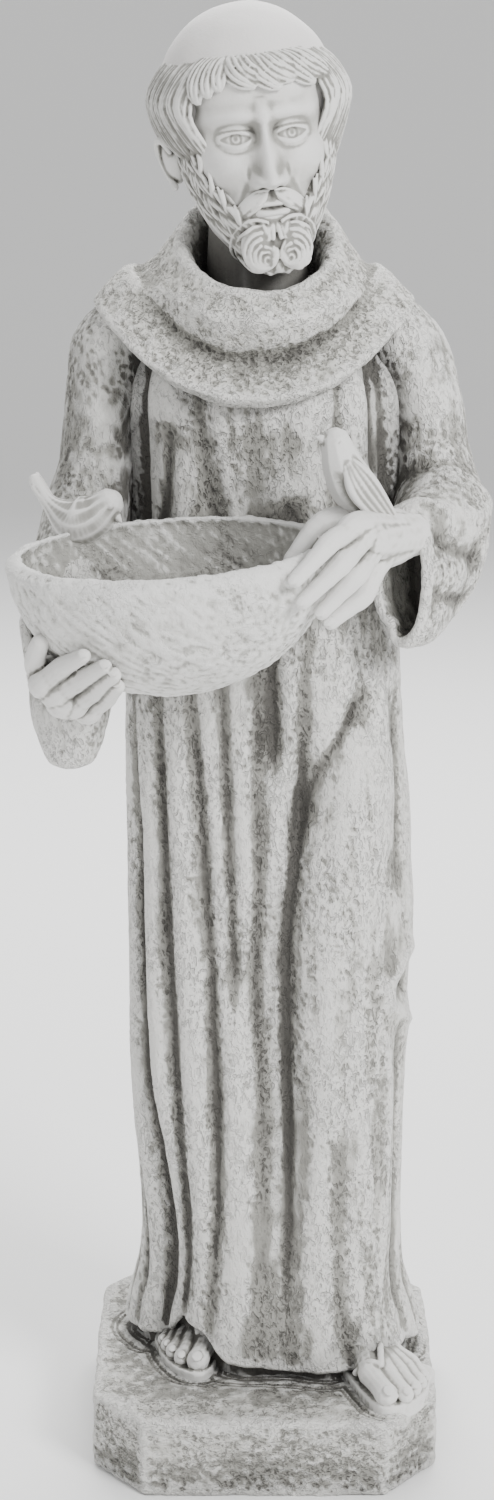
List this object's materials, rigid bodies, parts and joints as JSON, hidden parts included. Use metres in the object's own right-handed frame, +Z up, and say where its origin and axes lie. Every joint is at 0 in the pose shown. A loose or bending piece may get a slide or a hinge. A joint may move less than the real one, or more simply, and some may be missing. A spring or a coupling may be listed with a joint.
{
  "type": "saint francis statue",
  "caption": "Garden statue of a robed saint on a plinth, who holds a long oval bowl with a bird on its rim and a bird on the hand, cast in one piece.",
  "frame": {"origin": "centre of the plinth's flat underside", "axes": "+Z up through the figure, -Y the way the figure faces, +X to the viewer's right"},
  "size_m": [0.334, 0.3837, 1.0609],
  "materials": {
    "cast_stone": "weathered matt cast stone, pale with a darker wash in the hollows"
  },
  "bodies": {
    "root": {"saint_francis_statue": "cast_stone"}
  },
  "joints": []
}
